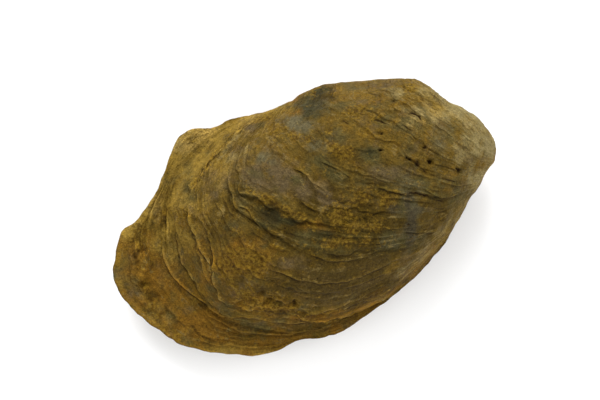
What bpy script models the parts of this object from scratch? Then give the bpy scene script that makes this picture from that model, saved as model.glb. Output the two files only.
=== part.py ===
"""A fossil oyster, petrified in one piece: the long deep valve lies uppermost, over its flat lid valve.

Metres, +Z up, with the long axis along X and the beak end at +X. The origin is under the middle of the
plan, on the surface that the fossil rests on.
"""

import bmesh
import bpy
import numpy as np
from mathutils import Vector

MM = 0.001

# Driving dimensions, in millimetres.
RIM_HEIGHT = 8.0  # of the edge where the two valves meet, above the resting face
RIM_WAVE = 0.8  # how far that edge rises and dips
RIM_WAVELENGTH = 70.0
DOME_HEIGHT = 21.5  # of the deep valve's crest above the flange
FLANGE_HEIGHT = 3.4  # of the thin late growth above the rim, at the foot of the dome
FLANGE_EDGE = 0.8  # and at its own edge
BROW_LIFT = 7.0  # of the beak end's overhanging brow
HALT_DROP = 0.9  # the step left wherever growth stopped for a season
UNDERCUT = 0.17  # how far the hinge lies back under the brow, as a share of the way to the middle

# Ages run from 0 along the brow to 1 at the margin, and below 0 under the brow.
BROW_AGE = 0.45  # where the brow's lift has faded into the dome
BODY_AGE = 0.90  # the dome's foot
HALTS = (0.25, 0.585, 0.84)
HALT_WIDTH = 0.012
UNDERCUT_ROWS = 5
GROWTH_ROWS = 32
TURN_COLUMNS = 48

# The dome's section is fuller towards the beak and leaner at the growing end.
FULLNESS = 1.0
FULLNESS_SWING = 0.45
SWING_LENGTH = 30.0

# The growth line at seven evenly spaced ages, in plan. Each runs from the hinge's near end, along the
# steep side, round the growing end and back along the far side, through evenly spaced turns.
BROW = ((52.2, -0.9), (51.0, 6.5), (47.0, 12.5), (43.0, 17.5), (40.8, 21.0), (37.3, 24.2))
YOUNG = ((50.2, -3.5), (44.2, 2.5), (39.4, 10.5), (34.3, 17.6), (29.8, 23.4), (28.8, 27.2))
SECOND = ((46.5, -6.3), (34.6, -0.3), (26.7, 10.2), (19.7, 19.6), (15.0, 26.3), (16.7, 30.3))
MIDDLE = ((42.8, -8.8), (23.8, -5.2), (6.7, 4.3), (-0.4, 16.5), (-1.6, 24.4), (6.8, 29.5))
FOURTH = ((40.1, -10.8), (18.2, -14.6), (-5.9, -4.0), (-15.7, 9.0), (-12.5, 20.1), (0.9, 29.1))
GROWN = ((38.7, -12.2), (15.6, -24.1), (-18.0, -18.5), (-28.3, 0.7), (-24.5, 17.3), (-3.1, 29.4))
MARGIN = (
    (37.5, -13.5), (32.5, -17.6), (27.4, -21.0), (19.5, -24.7), (10.7, -27.8), (1.5, -30.5), (-6.9, -30.8),
    (-15.2, -29.6), (-24.5, -28.8), (-32.9, -25.4), (-40.9, -20.2), (-46.8, -12.4), (-51.2, -3.4),
    (-51.5, 4.1), (-47.2, 10.8), (-41.6, 14.0), (-35.1, 17.6), (-29.3, 24.3), (-22.5, 30.3),
    (-15.2, 29.9), (-6.6, 29.6),
)
STAGES = (BROW, YOUNG, SECOND, MIDDLE, FOURTH, GROWN, MARGIN)

# The underside, ring by ring from the margin inwards: how far out from the middle, how far the ring has
# turned from the margin's outline into the flat face's oval, and its share of the rim's height.
UNDERSIDE = (
    (0.985, 0.00, 0.84),
    (0.93, 0.10, 0.74),
    (0.905, 0.15, 0.56),
    (0.80, 0.40, 0.30),
    (0.66, 0.70, 0.10),
    (0.52, 1.00, 0.00),
)
REST_LENGTH = 56.0  # the flat oval face that it rests on
REST_WIDTH = 32.0

SHELL_COLOUR = (0.13, 0.085, 0.035, 1.0)
SHELL_ROUGHNESS = 0.8


def through(points, shares):
    """The smooth curve through evenly spaced points, read at shares of the way along it."""
    spans = len(points) - 1
    before_first = 2 * points[:1] - points[1:2]
    after_last = 2 * points[-1:] - points[-2:-1]
    points = np.concatenate([before_first, points, after_last])
    start = np.clip((shares * spans).astype(int), 0, spans - 1)
    t = (shares * spans - start).reshape(-1, *[1] * (points.ndim - 1))
    before, a, b, after = (points[start + step] for step in range(4))
    return (
        a * (2 * t**3 - 3 * t**2 + 1)
        + (b - before) / 2 * (t**3 - 2 * t**2 + t)
        + b * (3 * t**2 - 2 * t**3)
        + (after - a) / 2 * (t**3 - t**2)
    )


def eased(low, high, value):
    """0 below low, 1 above high, and a smooth rise between them."""
    t = np.clip((value - low) / (high - low), 0, 1)
    return t * t * (3 - 2 * t)


def plan(ages, turns):
    """Where the growth lines of these ages are at these turns: rows of (x, y) in plan."""
    lines = np.array([through(np.array(stage), turns) for stage in STAGES])
    return through(lines, ages)


def dome_outline():
    """The dome's foot in plan: along the brow, the far side, round the growing end and up the steep side."""
    run = np.linspace(0, 1, 40, endpoint=False)
    brow = plan(np.zeros(1), run)[0]
    far_side = plan(BODY_AGE * run, np.ones(1))[:, 0]
    growing_end = plan(np.full(1, BODY_AGE), 1 - run)[0]
    steep_side = plan(BODY_AGE * (1 - run), np.zeros(1))[:, 0]
    return np.concatenate([brow, far_side, growing_end, steep_side])


def depth_inside(places, outline):
    """A smooth distance in from a closed outline, which feels all of it but the nearest stretch most."""
    after = np.roll(outline, -1, axis=0)
    length = np.linalg.norm(after - outline, axis=1)
    along = (after - outline) / length[:, None]
    offset = places[:, None, :] - outline
    passed = (offset * along).sum(axis=2)
    ahead = length - passed
    aside = offset[..., 0] * along[:, 1] - offset[..., 1] * along[:, 0]
    gap = aside**2 + 1e-6
    pull = (ahead / np.sqrt(ahead**2 + gap) + passed / np.sqrt(passed**2 + gap)) / gap
    return np.sqrt(2 / pull.sum(axis=1))


def rim(x, y):
    """The height of the edge between the valves, which waves gently."""
    return RIM_HEIGHT + RIM_WAVE * np.sin(2 * np.pi * (x + 0.5 * y) / RIM_WAVELENGTH)


def halts_to_come(age, turn):
    """The growth steps between this age and the margin, faded out where the lines crowd together."""
    ahead = sum(1 - eased(halt - HALT_WIDTH, halt + HALT_WIDTH, age) for halt in HALTS)
    clear = eased(0, 0.2, turn) * (1 - eased(0.85, 1, turn)) * eased(0, 0.1, age) * (1 - eased(0.9, 1, age))
    return HALT_DROP * (ahead - len(HALTS) / 2) * clear


def outside(ages, turns):
    """The deep valve's outside: rows of (x, y, z), a row for each age from the brow to the margin."""
    place = plan(ages, turns)
    x, y = place[..., 0], place[..., 1]
    age, turn = np.meshgrid(ages, turns, indexing="ij")
    depth = depth_inside(place.reshape(-1, 2), dome_outline()).reshape(age.shape)
    on_dome = (age > 0) & (age < BODY_AGE) & (turn > 0) & (turn < 1)
    inwards = np.where(on_dome, depth, 0) / depth[on_dome].max()
    fullness = FULLNESS - FULLNESS_SWING * np.tanh(x / SWING_LENGTH)
    dome = (1 - (1 - inwards) ** 2) ** fullness
    lift = BROW_LIFT * np.clip(1 - age / BROW_AGE, 0, 1) ** 2 * np.sin(np.pi * turn) ** 0.7
    flange = FLANGE_HEIGHT + (FLANGE_EDGE - FLANGE_HEIGHT) * eased(BODY_AGE - 0.1, 1, age)
    z = rim(x, y) + flange + lift + dome * (DOME_HEIGHT - lift) + halts_to_come(age, turn)
    return np.stack([x, y, z], axis=-1)


def under_brow(brow, share):
    """The row of points this share of the way from the brow back and down to the hinge."""
    sweep = share * np.pi / 2
    arch = np.sin(np.pi * np.linspace(0, 1, len(brow)))
    back = 1 - UNDERCUT * arch * (1 - np.cos(sweep))
    x, y, z = brow.T
    return np.stack([x * back, y * back, z + (rim(x, y) - z) * np.sin(sweep)], axis=-1)


def growth_ages():
    """One age for each row of the mesh, with a close pair of rows across each growth step."""
    spread = np.linspace(0, 1, GROWTH_ROWS + 1) ** 1.1
    clear = [age for age in spread if all(abs(age - halt) > 1.5 * HALT_WIDTH for halt in HALTS)]
    steps = [halt + side * HALT_WIDTH for halt in HALTS for side in (-1, 1)]
    return np.array(sorted(clear + steps))


def deep_valve(mesh):
    """The deep valve: a net of faces along its growth lines, bent from a flat grid."""
    turns = np.linspace(0, 1, TURN_COLUMNS + 1)
    grown = outside(growth_ages(), turns)
    tucked = [under_brow(grown[0], share) for share in np.linspace(1, 0, UNDERCUT_ROWS, endpoint=False)]
    rows = np.concatenate([tucked, grown])
    bmesh.ops.create_grid(mesh, x_segments=TURN_COLUMNS, y_segments=len(rows) - 1, size=0.5)
    for vert in mesh.verts:
        row = round((vert.co.y + 0.5) * (len(rows) - 1))
        column = round((vert.co.x + 0.5) * TURN_COLUMNS)
        vert.co = rows[row, column] * MM
    bmesh.ops.remove_doubles(mesh, verts=mesh.verts, dist=0.01 * MM)


def lid_valve(mesh):
    """The lid valve, drawn inwards from the margin down to the flat face that the fossil rests on."""
    loop = [edge for edge in mesh.edges if edge.is_boundary]
    outer = {vert: vert.co.copy() for edge in loop for vert in edge.verts}
    for share, oval, height in UNDERSIDE:
        made = bmesh.ops.extrude_edge_only(mesh, edges=loop)["geom"]
        loop = [item for item in made if isinstance(item, bmesh.types.BMEdge)]
        inner = {}
        for vert in (item for item in made if isinstance(item, bmesh.types.BMVert)):
            above = next(edge.other_vert(vert) for edge in vert.link_edges if edge.other_vert(vert) in outer)
            start = outer[above]
            inner[vert] = start
            around = Vector((start.x / REST_LENGTH, start.y / REST_WIDTH)).normalized()
            rest = Vector((around.x * REST_LENGTH, around.y * REST_WIDTH)) * MM / 2
            place = (start.xy * share).lerp(rest * share / UNDERSIDE[-1][0], oval)
            level = rim(start.x / MM, start.y / MM) * MM
            vert.co = (place.x, place.y, level * height)
        outer = inner
    bmesh.ops.edgeloop_fill(mesh, edges=loop)


def centre_over_origin(mesh):
    places = np.array([vert.co for vert in mesh.verts])
    middle = (places.min(axis=0) + places.max(axis=0)) / 2
    bmesh.ops.translate(mesh, verts=mesh.verts, vec=(-middle[0], -middle[1], 0))


def stone(name, colour, roughness):
    material = bpy.data.materials.new(name)
    material.use_nodes = True
    shader = material.node_tree.nodes["Principled BSDF"]
    shader.inputs["Base Color"].default_value = colour
    shader.inputs["Roughness"].default_value = roughness
    shader.inputs["Metallic"].default_value = 0.0
    return material


def fossil_oyster():
    mesh = bmesh.new()
    deep_valve(mesh)
    lid_valve(mesh)
    centre_over_origin(mesh)
    bmesh.ops.recalc_face_normals(mesh, faces=mesh.faces)
    data = bpy.data.meshes.new("fossil_oyster")
    mesh.to_mesh(data)
    mesh.free()
    data.shade_smooth()
    data.materials.append(stone("fossil_shell", SHELL_COLOUR, SHELL_ROUGHNESS))
    oyster = bpy.data.objects.new("fossil_oyster", data)
    bpy.context.scene.collection.objects.link(oyster)
    return oyster


for startup_object in list(bpy.data.objects):
    bpy.data.objects.remove(startup_object)
fossil_oyster()
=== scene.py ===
"""A fossil oyster lying on its flat lid valve: the worn, stepped and crusted outside of one petrified shell.

Shapes are worked out in millimetres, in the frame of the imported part, and made metres at the end.
"""

import math

import bpy
import numpy as np
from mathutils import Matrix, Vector


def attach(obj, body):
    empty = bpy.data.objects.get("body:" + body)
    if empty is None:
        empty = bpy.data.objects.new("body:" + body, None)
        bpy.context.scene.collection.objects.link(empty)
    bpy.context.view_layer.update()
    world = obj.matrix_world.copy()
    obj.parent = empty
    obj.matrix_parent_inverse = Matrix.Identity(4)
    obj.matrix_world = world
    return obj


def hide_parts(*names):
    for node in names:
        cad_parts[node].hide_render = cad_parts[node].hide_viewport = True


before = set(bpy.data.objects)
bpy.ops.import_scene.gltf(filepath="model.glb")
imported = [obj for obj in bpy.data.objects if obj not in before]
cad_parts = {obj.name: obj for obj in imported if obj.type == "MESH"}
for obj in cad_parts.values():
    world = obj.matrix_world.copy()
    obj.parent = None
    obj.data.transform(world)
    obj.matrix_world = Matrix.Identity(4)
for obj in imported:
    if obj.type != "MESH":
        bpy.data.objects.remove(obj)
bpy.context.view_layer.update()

MM = 0.001

# -------- the shell's plan and section, millimetres

RIM_HEIGHT = 8.0  # of the edge where the two valves meet, above the resting face
RIM_WAVE = 0.8
RIM_WAVELENGTH = 70.0
DOME_HEIGHT = 21.5  # of the deep valve's crest above the flange
SHARPNESS = 1.0  # of the dome's section, which is blunter at the beak end and sharper at the growing end
SHARPNESS_SWING = 0.45
SWING_LENGTH = 30.0
FLANGE_HEIGHT = 3.4  # of the thin late growth above the rim, at the foot of the dome
FLANGE_EDGE = 0.8
BROW_LIFT = 7.0  # of the beak end's overhanging brow
BROW_ROUNDNESS = 0.7
UNDERCUT = 0.17  # how far the hinge lies back under the brow, as a share of the way to the middle

# Ages run from 0 along the brow to 1 at the margin, and turns from 0 at the hinge's near end to 1 at its far
# end. Under the brow the ages run on, down to the hinge's.
HINGE_AGE = -0.12
BROW_AGE = 0.45  # where the brow's lift has faded into the dome
BODY_AGE = 0.90  # the dome's foot
FLANGE_RAMP = 0.1  # how far before the dome's foot the flange begins to thin

# Growth lines in plan at evenly spaced ages, from the brow to the late flange. Each runs from the hinge's
# near end, along the steep side, round the growing end and back along the far side.
GROWTH_LINES = (
    ((51.8, -0.3), (52.1, 2.2), (51.2, 5.8), (49.3, 9.5), (47.1, 12.5), (44.6, 14.8), (43.0, 17.2),
     (42.1, 19.2), (40.6, 21.1), (38.8, 23.0), (37.1, 24.3)),
    ((51.1, -1.9), (49.8, 1.1), (47.7, 4.6), (45.8, 8.3), (43.8, 11.8), (41.4, 15.1), (39.0, 18.2),
     (36.7, 20.9), (34.7, 23.0), (33.9, 24.5), (33.8, 25.7)),
    ((50.2, -3.3), (46.9, -0.9), (44.0, 2.6), (41.4, 6.6), (39.3, 10.7), (36.8, 14.3), (34.2, 17.7),
     (31.7, 20.8), (29.7, 23.5), (28.5, 25.5), (28.6, 27.3)),
    ((48.1, -4.5), (43.7, -2.8), (39.7, 1.2), (35.9, 5.0), (33.4, 9.5), (30.6, 13.8), (27.2, 17.5),
     (24.2, 21.1), (22.0, 24.3), (21.6, 27.0), (22.4, 29.0)),
    ((46.2, -6.1), (40.3, -4.5), (34.5, -0.2), (30.2, 5.2), (26.5, 10.4), (23.1, 15.2), (19.5, 19.8),
     (16.5, 23.3), (14.8, 26.4), (15.1, 28.8), (16.6, 30.4)),
    ((44.7, -7.6), (35.7, -6.7), (27.9, -2.5), (20.5, 2.7), (14.6, 7.6), (9.8, 12.6), (6.2, 17.8),
     (4.3, 22.3), (4.7, 25.7), (7.7, 27.9), (10.8, 30.5)),
    ((43.2, -8.7), (33.2, -9.1), (23.7, -5.1), (13.8, -0.6), (6.6, 4.5), (2.3, 10.9), (-0.5, 16.6),
     (-2.3, 21.4), (-1.8, 24.5), (2.0, 27.3), (6.7, 29.6)),
    ((41.6, -9.6), (30.8, -12.6), (19.3, -11.1), (7.0, -5.6), (-1.6, 0.9), (-8.4, 7.7), (-12.4, 11.9),
     (-12.7, 16.4), (-9.6, 21.9), (-3.4, 25.9), (3.3, 29.4)),
    ((40.3, -10.6), (30.6, -14.7), (18.0, -14.5), (3.9, -10.5), (-6.0, -3.8), (-12.5, 3.2), (-15.9, 9.1),
     (-15.6, 14.4), (-12.6, 20.2), (-7.3, 25.1), (0.8, 29.2)),
    ((39.4, -11.5), (30.9, -16.2), (16.4, -20.5), (-1.9, -18.8), (-13.8, -11.7), (-21.2, -4.1),
     (-23.2, 4.9), (-23.1, 12.5), (-19.8, 19.3), (-10.2, 25.4), (-1.4, 29.3)),
    ((38.6, -12.3), (30.4, -17.4), (15.4, -24.0), (-4.2, -24.3), (-18.2, -18.3), (-27.5, -10.8),
     (-28.5, 0.8), (-28.2, 10.5), (-24.6, 17.5), (-15.6, 23.5), (-3.2, 29.6)),
    ((37.8, -13.0), (29.7, -18.8), (13.7, -26.4), (-6.7, -28.3), (-22.1, -23.8), (-32.9, -14.4),
     (-37.2, -0.5), (-35.7, 11.1), (-29.8, 20.5), (-18.9, 27.2), (-4.8, 29.7)),
    ((37.2, -13.6), (33.6, -16.6), (30.2, -19.2), (27.2, -20.9), (22.0, -23.6), (16.3, -25.8),
     (10.5, -27.8), (4.2, -29.5), (-1.4, -30.7), (-7.0, -30.9), (-12.8, -29.3), (-18.7, -29.9),
     (-24.7, -29.1), (-30.7, -26.6), (-36.2, -23.7), (-41.1, -20.3), (-45.0, -15.5), (-49.1, -9.4),
     (-51.8, -3.7), (-52.4, 2.2), (-50.5, 6.3), (-46.3, 12.6), (-42.2, 13.9), (-37.5, 16.8), (-33.5, 20.4),
     (-30.5, 23.5), (-25.2, 29.8), (-20.0, 31.4), (-14.2, 29.9), (-10.1, 30.5), (-6.6, 30.1)),
)

# The underside, from the margin inwards: how far out, how far turned into the resting face's oval, and the
# share of the rim's height.
LID_RINGS = (
    (0.985, 0.00, 0.84), (0.965, 0.03, 0.80), (0.945, 0.07, 0.77), (0.930, 0.10, 0.74), (0.918, 0.12, 0.64),
    (0.905, 0.15, 0.55), (0.885, 0.20, 0.50), (0.860, 0.26, 0.43), (0.830, 0.33, 0.36), (0.800, 0.40, 0.29),
    (0.770, 0.47, 0.22), (0.735, 0.55, 0.16), (0.700, 0.62, 0.11), (0.660, 0.70, 0.07), (0.620, 0.80, 0.03),
    (0.580, 0.90, 0.01), (0.540, 0.97, 0.00), (0.480, 1.00, 0.00), (0.400, 1.00, 0.00), (0.320, 1.00, 0.00),
    (0.240, 1.00, 0.00), (0.160, 1.00, 0.00), (0.080, 1.00, 0.00),
)
REST_SHARE = 0.52
REST_LENGTH = 56.0
REST_WIDTH = 32.0

# How finely the surface is made.
GROWTH_ROWS = 270
BROW_ROWS = 14
TURN_COLUMNS = 280
OUTLINE_STEPS = 60
AGE_STEPS = 400
SPEED_ROWS = 96
SPEED_COLUMNS = 64

# Rows are spaced by the growth over these turns, with this much added to every step.
MIDDLE_TURNS = np.linspace(0.35, 0.75, 9)
LEAST_STEP = 0.04

SEAM_GAP = 0.002  # points of the deep valve nearer than this are one point
RING_GAP = 0.3  # and on the lid valve's rings

# The shell unrolled: a growth line is about this long, growth ran about this far, and so did the lid's.
LINE_LENGTH = 116.0
GROWTH_LENGTH = 88.0
LID_LENGTH = 40.0


def through(points, shares):
    """The smooth curve through evenly spaced points, read at shares of the way along it."""
    spans = len(points) - 1
    before_first = 2 * points[:1] - points[1:2]
    after_last = 2 * points[-1:] - points[-2:-1]
    points = np.concatenate([before_first, points, after_last])
    start = np.clip((shares * spans).astype(int), 0, spans - 1)
    t = (shares * spans - start).reshape(-1, *[1] * (points.ndim - 1))
    before, a, b, after = (points[start + step] for step in range(4))
    return (
        a * (2 * t**3 - 3 * t**2 + 1)
        + (b - before) / 2 * (t**3 - 2 * t**2 + t)
        + b * (3 * t**2 - 2 * t**3)
        + (after - a) / 2 * (t**3 - t**2)
    )


def eased(low, high, value):
    """0 below low, 1 above high, and a smooth rise between them."""
    t = np.clip((value - low) / (high - low), 0, 1)
    return t * t * (3 - 2 * t)


def plan(ages, turns):
    """Where the growth lines of these ages are at these turns, in plan."""
    lines = np.array([through(np.array(line), turns) for line in GROWTH_LINES])
    return through(lines, ages)


def dome_outline():
    """The dome's foot in plan."""
    run = np.linspace(0, 1, OUTLINE_STEPS, endpoint=False)
    brow = plan(np.zeros(1), run)[0]
    far_side = plan(BODY_AGE * run, np.ones(1))[:, 0]
    growing_end = plan(np.full(1, BODY_AGE), 1 - run)[0]
    steep_side = plan(BODY_AGE * (1 - run), np.zeros(1))[:, 0]
    return np.concatenate([brow, far_side, growing_end, steep_side])


def depth_inside(places, outline):
    """A smooth distance in from a closed outline, which feels all of it but the nearest stretch most."""
    after = np.roll(outline, -1, axis=0)
    length = np.linalg.norm(after - outline, axis=1)
    along = (after - outline) / length[:, None]
    offset = places[:, None, :] - outline
    passed = (offset * along).sum(axis=2)
    ahead = length - passed
    aside = offset[..., 0] * along[:, 1] - offset[..., 1] * along[:, 0]
    gap = aside**2 + 1e-6  # never nothing, which couldn't be divided by
    pull = (ahead / np.sqrt(ahead**2 + gap) + passed / np.sqrt(passed**2 + gap)) / gap
    return np.sqrt(2 / pull.sum(axis=1))


def rim(x, y):
    """The height of the edge between the valves, which waves gently."""
    return RIM_HEIGHT + RIM_WAVE * np.sin(2 * np.pi * (x + 0.5 * y) / RIM_WAVELENGTH)


def deep_valve_form(ages, turns):
    """The deep valve's outside before its relief: rows of (x, y, z), a row for each age."""
    place = plan(ages, turns)
    x, y = place[..., 0], place[..., 1]
    age, turn = np.meshgrid(ages, turns, indexing="ij")
    outline = dome_outline()
    depth = np.array([depth_inside(row, outline) for row in place])
    on_dome = (age > 0) & (age < BODY_AGE) & (turn > 0) & (turn < 1)
    inwards = np.where(on_dome, depth, 0) / depth[on_dome].max()
    sharpness = SHARPNESS - SHARPNESS_SWING * np.tanh(x / SWING_LENGTH)
    dome = (1 - (1 - inwards) ** 2) ** sharpness
    lift = BROW_LIFT * np.clip(1 - age / BROW_AGE, 0, 1) ** 2 * np.sin(np.pi * turn) ** BROW_ROUNDNESS
    flange = FLANGE_HEIGHT + (FLANGE_EDGE - FLANGE_HEIGHT) * eased(BODY_AGE - FLANGE_RAMP, 1, age)
    z = rim(x, y) + flange + lift + dome * (DOME_HEIGHT - lift)
    return np.stack([x, y, z], axis=-1)


def under_brow(brow, share):
    """The row of points this share of the way from the brow back and down to the hinge."""
    sweep = share * np.pi / 2
    arch = np.sin(np.pi * np.linspace(0, 1, len(brow)))
    back = 1 - UNDERCUT * arch * (1 - np.cos(sweep))
    x, y, z = brow.T
    return np.stack([x * back, y * back, z + (rim(x, y) - z) * np.sin(sweep)], axis=-1)


# -------- numbers on the mesh

def read_vectors(mesh, what):
    """A vector for every vertex: co is where it is, in metres, and normal is its way out."""
    flat = np.empty(len(mesh.vertices) * 3, np.float32)
    mesh.vertices.foreach_get(what, flat)
    return flat.reshape(-1, 3).astype(float)


def read_places(mesh):
    return read_vectors(mesh, "co") / MM


def write_places(mesh, places):
    mesh.vertices.foreach_set("co", (places * MM).astype(np.float32).ravel())
    mesh.update()


def read_field(mesh, name):
    flat = np.empty(len(mesh.vertices), np.float32)
    mesh.attributes[name].data.foreach_get("value", flat)
    return flat.astype(float)


def write_field(mesh, name, values):
    field = mesh.attributes.get(name) or mesh.attributes.new(name, "FLOAT", "POINT")
    field.data.foreach_set("value", values.astype(np.float32))


def selected(mesh):
    flat = np.empty(len(mesh.vertices), bool)
    mesh.vertices.foreach_get("select", flat)
    return flat


# -------- the plain shell

def even_ages(count):
    """Ages whose growth lines are about evenly spaced across the middle of the shell."""
    ages = np.linspace(0, 1, AGE_STEPS + 1)
    lines = plan(ages, MIDDLE_TURNS)
    steps = np.linalg.norm(np.diff(lines, axis=0), axis=2).mean(axis=1) + LEAST_STEP
    run = np.concatenate([[0], np.cumsum(steps)])
    return np.interp(np.linspace(0, run[-1], count), run, ages)


def grow_deep_valve():
    """The deep valve, bent from a flat grid whose rows become its growth lines."""
    ages = even_ages(GROWTH_ROWS)
    turns = np.linspace(0, 1, TURN_COLUMNS + 1)
    grown = deep_valve_form(ages, turns)
    shares = np.linspace(1, 0, BROW_ROWS, endpoint=False)
    tucked = [under_brow(grown[0], share) for share in shares]
    rows = np.concatenate([tucked, grown])
    row_age = np.concatenate([HINGE_AGE * shares, ages])
    bpy.ops.mesh.primitive_grid_add(x_subdivisions=TURN_COLUMNS, y_subdivisions=len(rows) - 1, size=1)
    shell = bpy.context.object
    shell.name = shell.data.name = "fossil_oyster_shell"
    flat = read_vectors(shell.data, "co")
    column = np.rint((flat[:, 0] + 0.5) * TURN_COLUMNS).astype(int)
    row = np.rint((flat[:, 1] + 0.5) * (len(rows) - 1)).astype(int)
    write_places(shell.data, rows[row, column])
    write_field(shell.data, "age", row_age[row])
    write_field(shell.data, "turn", turns[column])
    write_field(shell.data, "lid", np.zeros(len(row)))
    return shell


def close_lid_valve(shell):
    """The lid valve, drawn in from the margin ring by ring to a pole in the middle of the resting face."""
    bpy.ops.object.mode_set(mode="EDIT")
    bpy.ops.mesh.select_mode(type="VERT")
    bpy.ops.mesh.select_all(action="SELECT")
    bpy.ops.mesh.remove_doubles(threshold=SEAM_GAP * MM)
    bpy.ops.mesh.select_all(action="DESELECT")
    bpy.ops.mesh.select_non_manifold(extend=False)
    bpy.ops.object.mode_set(mode="OBJECT")
    edge = read_places(shell.data)[selected(shell.data)]
    bearing = np.arctan2(edge[:, 1], edge[:, 0])
    order = np.argsort(bearing)
    bearing, radius = bearing[order], np.hypot(edge[order, 0], edge[order, 1])
    for ring, (share, oval, height) in enumerate(LID_RINGS, start=1):
        bpy.ops.object.mode_set(mode="EDIT")
        bpy.ops.mesh.extrude_edges_move()
        bpy.ops.object.mode_set(mode="OBJECT")
        places = read_places(shell.data)
        chosen = selected(shell.data)
        here = np.arctan2(places[chosen, 1], places[chosen, 0])
        along = np.stack([np.cos(here), np.sin(here)], axis=1)
        edge = along * np.interp(here, bearing, radius, period=2 * np.pi)[:, None]
        rest = along / np.hypot(along[:, 0] / REST_LENGTH, along[:, 1] / REST_WIDTH)[:, None] / 2
        middle = edge * share * (1 - oval) + rest * share / REST_SHARE * oval
        places[chosen] = np.column_stack([middle, rim(*edge.T) * height])
        write_places(shell.data, places)
        lid = read_field(shell.data, "lid")
        lid[chosen] = ring / len(LID_RINGS)
        write_field(shell.data, "lid", lid)
        bpy.ops.object.mode_set(mode="EDIT")
        bpy.ops.mesh.remove_doubles(threshold=RING_GAP * MM)
    bpy.ops.mesh.merge(type="CENTER")
    bpy.ops.mesh.select_all(action="SELECT")
    bpy.ops.mesh.normals_make_consistent(inside=False)
    bpy.ops.object.mode_set(mode="OBJECT")


# -------- where the relief and the stains are

# The places where growth halted: from one turn and age to another, then the step's drop, how far beyond it
# the surface recovers and how ragged its edge is, in millimetres.
HALTS = (
    (0.10, 1 / 12, 0.90, 1 / 12, 0.35, 1.2, 0.3),
    (0.15, 2 / 12, 0.90, 2 / 12, 0.50, 1.5, 0.3),
    (0.15, 3 / 12, 0.75, 3 / 12, 0.60, 1.5, 0.4),
    (0.12, 4 / 12, 0.80, 4 / 12, 0.55, 1.8, 0.4),
    (0.10, 5 / 12, 0.60, 5 / 12, 0.60, 1.5, 0.4),
    (0.15, 6 / 12, 0.75, 6 / 12, 0.60, 1.5, 0.5),
    (0.02, 7 / 12, 0.30, 7 / 12, 0.50, 1.5, 0.4),
    (0.26, 7 / 12, 0.80, 7 / 12, 1.60, 2.2, 1.2),
    (0.45, 0.625, 0.75, 0.620, 0.60, 1.5, 0.5),
    (0.05, 8 / 12, 0.85, 8 / 12, 1.10, 1.8, 0.6),
    (0.15, 9 / 12, 0.70, 9 / 12, 0.80, 1.8, 0.6),
    (0.45, 0.78, 0.95, 0.79, 0.90, 1.5, 0.5),
    (0.20, 0.80, 0.50, 0.81, 0.90, 1.6, 0.8),
    (0.08, 10 / 12, 0.98, 10 / 12, 1.30, 2.0, 0.6),
    (0.15, 0.87, 0.75, 0.88, 1.00, 1.8, 0.6),
    (0.15, 11 / 12, 0.90, 11 / 12, 0.90, 2.0, 0.5),
    (0.30, 0.955, 0.85, 0.95, 0.50, 1.8, 0.6),
)

# Short ledges between the halts: points along each, with the later growth on the right, then its drop and
# how far beyond it the surface recovers.
LEDGES = (
    (((0.2, 13.4), (3.1, 10.1), (3.8, 8.2), (6.2, 5.7), (7.2, 4.0)), 0.8, 1.5),
    (((7.7, 12.8), (11.1, 9.4), (14.2, 5.0)), 0.8, 2.0),
    (((-0.2, 4.7), (3.3, 0.7)), 0.7, 1.5),
    (((18.3, 1.3), (21.2, -0.6), (24.5, -2.9), (28.0, -4.4)), 0.8, 1.5),
    (((29.8, -3.4), (33.3, -6.6), (35.8, -7.3)), 0.6, 1.5),
    (((20.9, -12.6), (28.5, -14.5), (31.3, -14.2)), 0.5, 1.5),
    (((-22.9, -19.9), (-13.6, -24.7), (-6.1, -26.6), (1.5, -28.3)), 0.7, 2.0),
    (((-11.8, -18.2), (-10.3, -20.1), (-8.5, -21.9), (-6.3, -23.5), (-4.0, -24.6), (-0.9, -25.1),
      (2.5, -25.5), (6.0, -25.6), (9.8, -25.8), (13.6, -25.2), (17.3, -24.1), (20.4, -23.1)), 1.3, 1.6),
    (((-15.3, -18.8), (-13.5, -21.4), (-8.0, -25.9), (-3.5, -27.0), (1.3, -27.4), (6.3, -27.2),
      (11.7, -26.7), (17.7, -25.4)), 0.8, 1.4),
    (((-14.9, -6.9), (-9.3, -12.8), (-2.5, -16.7), (5.0, -18.8), (13.0, -19.3), (20.4, -17.8)), 0.6, 1.6),
    (((-4.6, -7.4), (1.9, -12.2), (9.1, -14.9), (16.0, -14.9)), 0.5, 1.4),
    (((-1.7, 29.1), (-5.0, 28.4), (-7.6, 27.2), (-10.9, 25.6), (-13.7, 24.2), (-17.5, 22.0),
      (-20.6, 20.1), (-23.9, 18.0)), 1.3, 2.2),
    (((-36.9, 9.3), (-38.2, 3.5), (-38.0, -1.3), (-36.3, -6.3), (-33.8, -10.7), (-30.8, -14.6),
      (-26.4, -18.9), (-20.7, -22.9)), 1.5, 3.0),
    (((-26.6, 14.3), (-28.1, 10.8), (-28.9, 6.4), (-28.6, 1.9), (-27.7, -2.3), (-25.8, -6.8)), 0.9, 1.2),
    (((-25.4, 6.2), (-26.0, 0.9), (-26.5, -2.7), (-28.1, -7.1), (-27.9, -11.2), (-26.1, -15.2)), 0.9, 1.2),
    (((-31.1, 11.8), (-33.3, 7.2), (-34.1, 2.0), (-33.7, -2.8), (-32.2, -7.8)), 0.8, 1.4),
    (((-33.1, 15.3), (-35.1, 10.6), (-36.6, 5.6)), 0.7, 1.4),
    (((-16.1, 9.2), (-14.1, 7.1), (-13.0, 3.4), (-12.1, 0.6)), 0.9, 1.2),
)

# The nodular ridge across the late flange.
NODULES = ((-44.5, 8.8), (-43.3, 5.3), (-43.5, 1.8), (-45.5, -0.7), (-46.6, -3.6), (-45.1, -7.2))

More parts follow.
